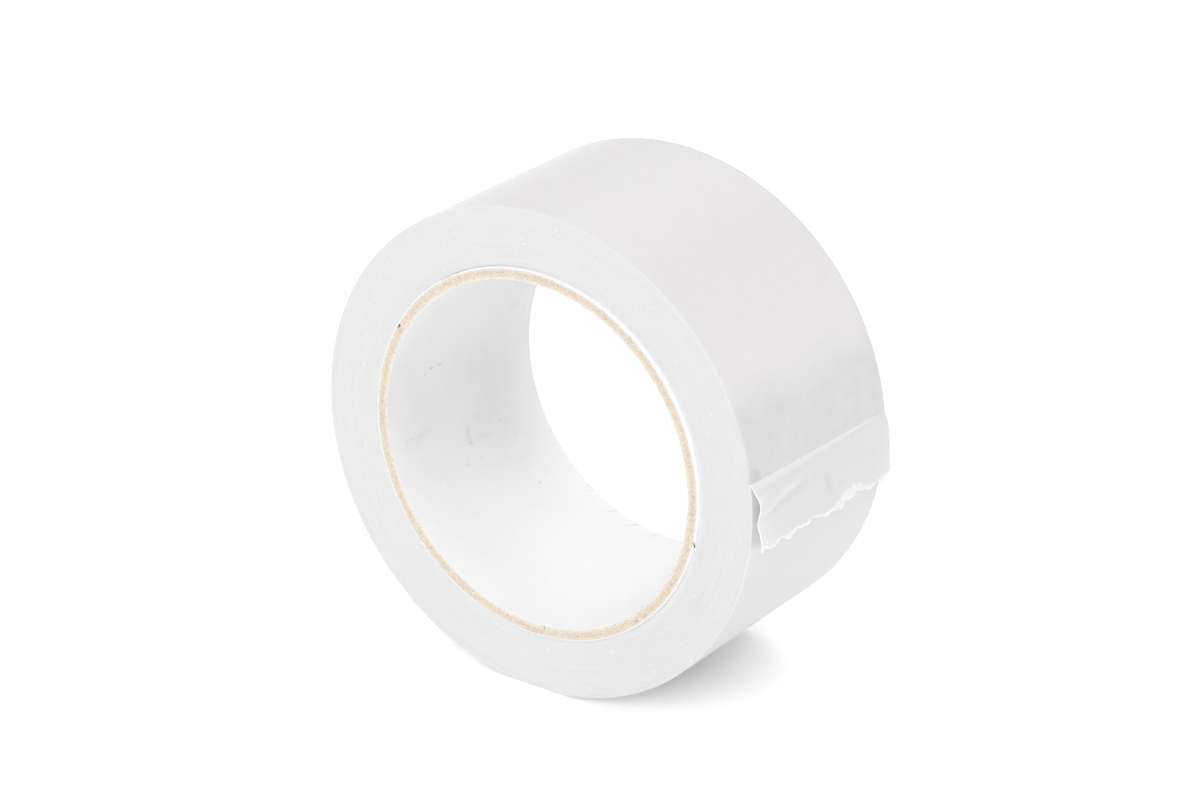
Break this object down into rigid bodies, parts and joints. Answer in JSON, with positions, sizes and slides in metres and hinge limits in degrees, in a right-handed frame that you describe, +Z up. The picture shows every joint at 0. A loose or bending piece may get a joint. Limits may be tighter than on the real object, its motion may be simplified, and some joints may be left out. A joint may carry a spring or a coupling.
{
  "type": "roll of pvc tape",
  "caption": "Roll of white PVC packing tape on a paper core, standing on its rim, with a torn free end lifting off the outer turn.",
  "frame": {"origin": "on the ground, at the middle of the rim's rest flat, under the roll's axis at mid-width", "axes": "+Z up, +Y along the roll's axis from the front side to the back side, +X to the side where the free end hangs"},
  "size_m": [0.1096, 0.0502, 0.1065],
  "materials": {
    "white_paper": "matt white paper",
    "kraft_board": "raw cut kraft board",
    "white_tape": "satin white film"
  },
  "bodies": {
    "roll": {"core_liner": "white_paper", "core_board_1": "kraft_board", "core_board_2": "kraft_board", "core_board_3": "kraft_board", "core_board_4": "kraft_board", "core_wrap": "white_paper", "tape_pack": "white_tape", "outer_turn": "white_tape"},
    "free_end": {"free_end": "white_tape"}
  },
  "joints": [
    {"name": "end_peel", "type": "hinge", "parent": "roll", "child": "free_end", "pos_m": [0.05305, 0, 0.05989], "axis": [-0.0048, -0.9993, 0.037], "range_deg": [-4, 125], "stiffness_Nm_per_rad": 0.0007}
  ]
}
